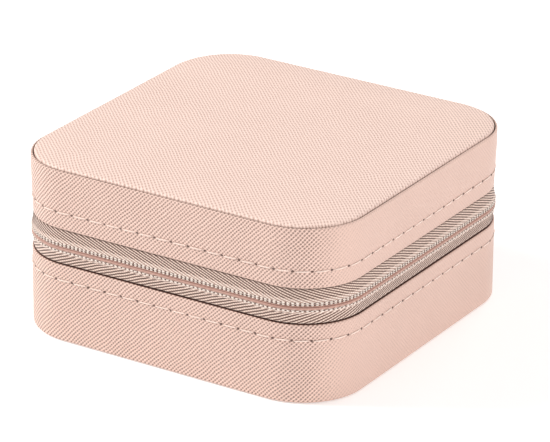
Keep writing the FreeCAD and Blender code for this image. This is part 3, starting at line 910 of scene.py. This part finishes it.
def build_tabs():
    """Leather tabs with a round end and softened edges, and the rail that they hang from."""
    for k in range(3):
        node = "necklace_tab_%d" % (k + 1)
        lo, hi = cad(node)
        mid_x, r = (lo[0] + hi[0]) / 2, (hi[0] - lo[0]) / 2
        outline = [(lo[0], lo[1]), (hi[0], lo[1])]
        outline += [(mid_x + r * math.cos(a), hi[1] - r + r * math.sin(a))
                    for a in np.linspace(0, math.pi, 25)]
        outline = np.array(outline)
        mid = outline.mean(0)
        levels = ((0.25, lo[2]), (0.0, lo[2] + 0.22), (0.0, hi[2] - 0.22), (0.25, hi[2]))
        verts = []
        for trim, z in levels:
            p = outline + (mid - outline) / np.linalg.norm(mid - outline, axis=1)[:, None] * trim
            verts.append(np.column_stack([p, np.full(len(p), z)]))
        faces = tube_faces(len(levels), len(outline))
        obj = add_mesh("tab_%d" % (k + 1), np.vstack(verts), faces, LEATHER_FLAT)
        obj.modifiers.new("soft_edge", "BEVEL").width = 0.15 * MM
        finish_piece(obj, node, "leather_side", node)
    lo, hi = cad("tab_anchor")
    obj = pad_block("tab_rail", lo, hi, 0.4, LEATHER_FLAT, cuts=8)
    finish_piece(obj, "lid", "leather_side", "tab_anchor")


def dress_cad():
    """CAD pieces that keep their shape get their material and softened edges."""
    looks = {"base_shell": BOARD, "lid_shell": BOARD}
    for node in ("slider_body", "slider_bail", "pull_tab", "end_stops_lower", "end_stops_upper",
                 "snap_cap_1", "snap_cap_2", "snap_cap_3", "snap_studs"):
        looks[node] = ROSE_GOLD
    for node, look in looks.items():
        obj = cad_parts[node]
        obj.data.materials.clear()
        obj.data.materials.append(look)
        if look is ROSE_GOLD:
            soft = obj.modifiers.new("soft_edge", "BEVEL")
            soft.width, soft.segments, soft.limit_method = 0.12 * MM, 2, "ANGLE"


# ---------------------------------------------------------------- stage
def floor_look(name, colour):
    look = Look(name, roughness=0.7, specular=0.2)
    look.colour(look.blend(look.noise(3, 2), colour, [c * 0.995 for c in colour]))
    look.shader.inputs["Emission Color"].default_value = (1, 1, 1, 1)
    look.shader.inputs["Emission Strength"].default_value = 0.3
    return look.mat


def area_light(name, where, size, power, colour=(1, 1, 1)):
    """Square light aimed at the middle of the case, in metres and watts."""
    data = bpy.data.lights.new(name, "AREA")
    data.shape, data.size, data.energy, data.color = "SQUARE", size, power, colour
    obj = add_object(name, data)
    obj.location = where
    aim = Vector((0, 0, 0.02)) - Vector(where)
    obj.rotation_euler = aim.to_track_quat("-Z", "Y").to_euler()


def build_stage():
    """Plain pale floor just under the case, white surroundings and three soft lights."""
    mesh = bpy.data.meshes.new("floor")
    r = 4.0
    mesh.from_pydata([(-r, -r, 0), (r, -r, 0), (r, r, 0), (-r, r, 0)], [], [(0, 1, 2, 3)])
    mesh.materials.append(floor_look("floor_white", (0.93, 0.93, 0.93)))
    floor = add_object("floor", mesh)
    floor.location.z = -0.0002

    world = bpy.data.worlds.new("studio")
    world.use_nodes = True
    sky = world.node_tree.nodes["Background"]
    sky.inputs[0].default_value = (1, 1, 1, 1)
    sky.inputs[1].default_value = 0.55
    bpy.context.scene.world = world
    bpy.context.scene.view_settings.view_transform = "Standard"
    area_light("key", (-0.85, -0.4, 0.82), size=0.3, power=10.8, colour=(1.0, 0.985, 0.96))
    area_light("fill", (1.6, -0.3, 0.5), size=1.2, power=11.0, colour=(1.0, 0.955, 0.93))
    area_light("back", (0.1, 1.3, 1.1), size=1.0, power=5.0)


def build_camera():
    """Long lens from the front right, a little above, aimed at the middle of the case."""
    azimuth, elevation, roll = math.radians(32.26), math.radians(23.15), math.radians(0.44)
    distance, target = 1.0396, Vector((0, 0, 0.025))
    back = Vector((math.sin(azimuth) * math.cos(elevation),
                   -math.cos(azimuth) * math.cos(elevation), math.sin(elevation)))
    right = Vector((math.cos(azimuth), math.sin(azimuth), 0))
    up = back.cross(right)
    turned = right * math.cos(roll) + up * math.sin(roll)
    raised = back.cross(turned)
    matrix = Matrix((turned, raised, back)).transposed().to_4x4()
    matrix.translation = target + back * distance
    data = bpy.data.cameras.new("camera")
    data.sensor_width, data.lens = 36.0, 253.2
    data.shift_x, data.shift_y = 0.0172, -0.0047
    data.clip_end = 50
    camera = add_object("camera", data)
    camera.matrix_world = matrix
    bpy.context.scene.camera = camera


build_leather()
build_panels()
build_zipper()
build_hinge()
build_linings()
build_rolls()
build_pocket()
build_tabs()
dress_cad()
build_stage()
build_camera()
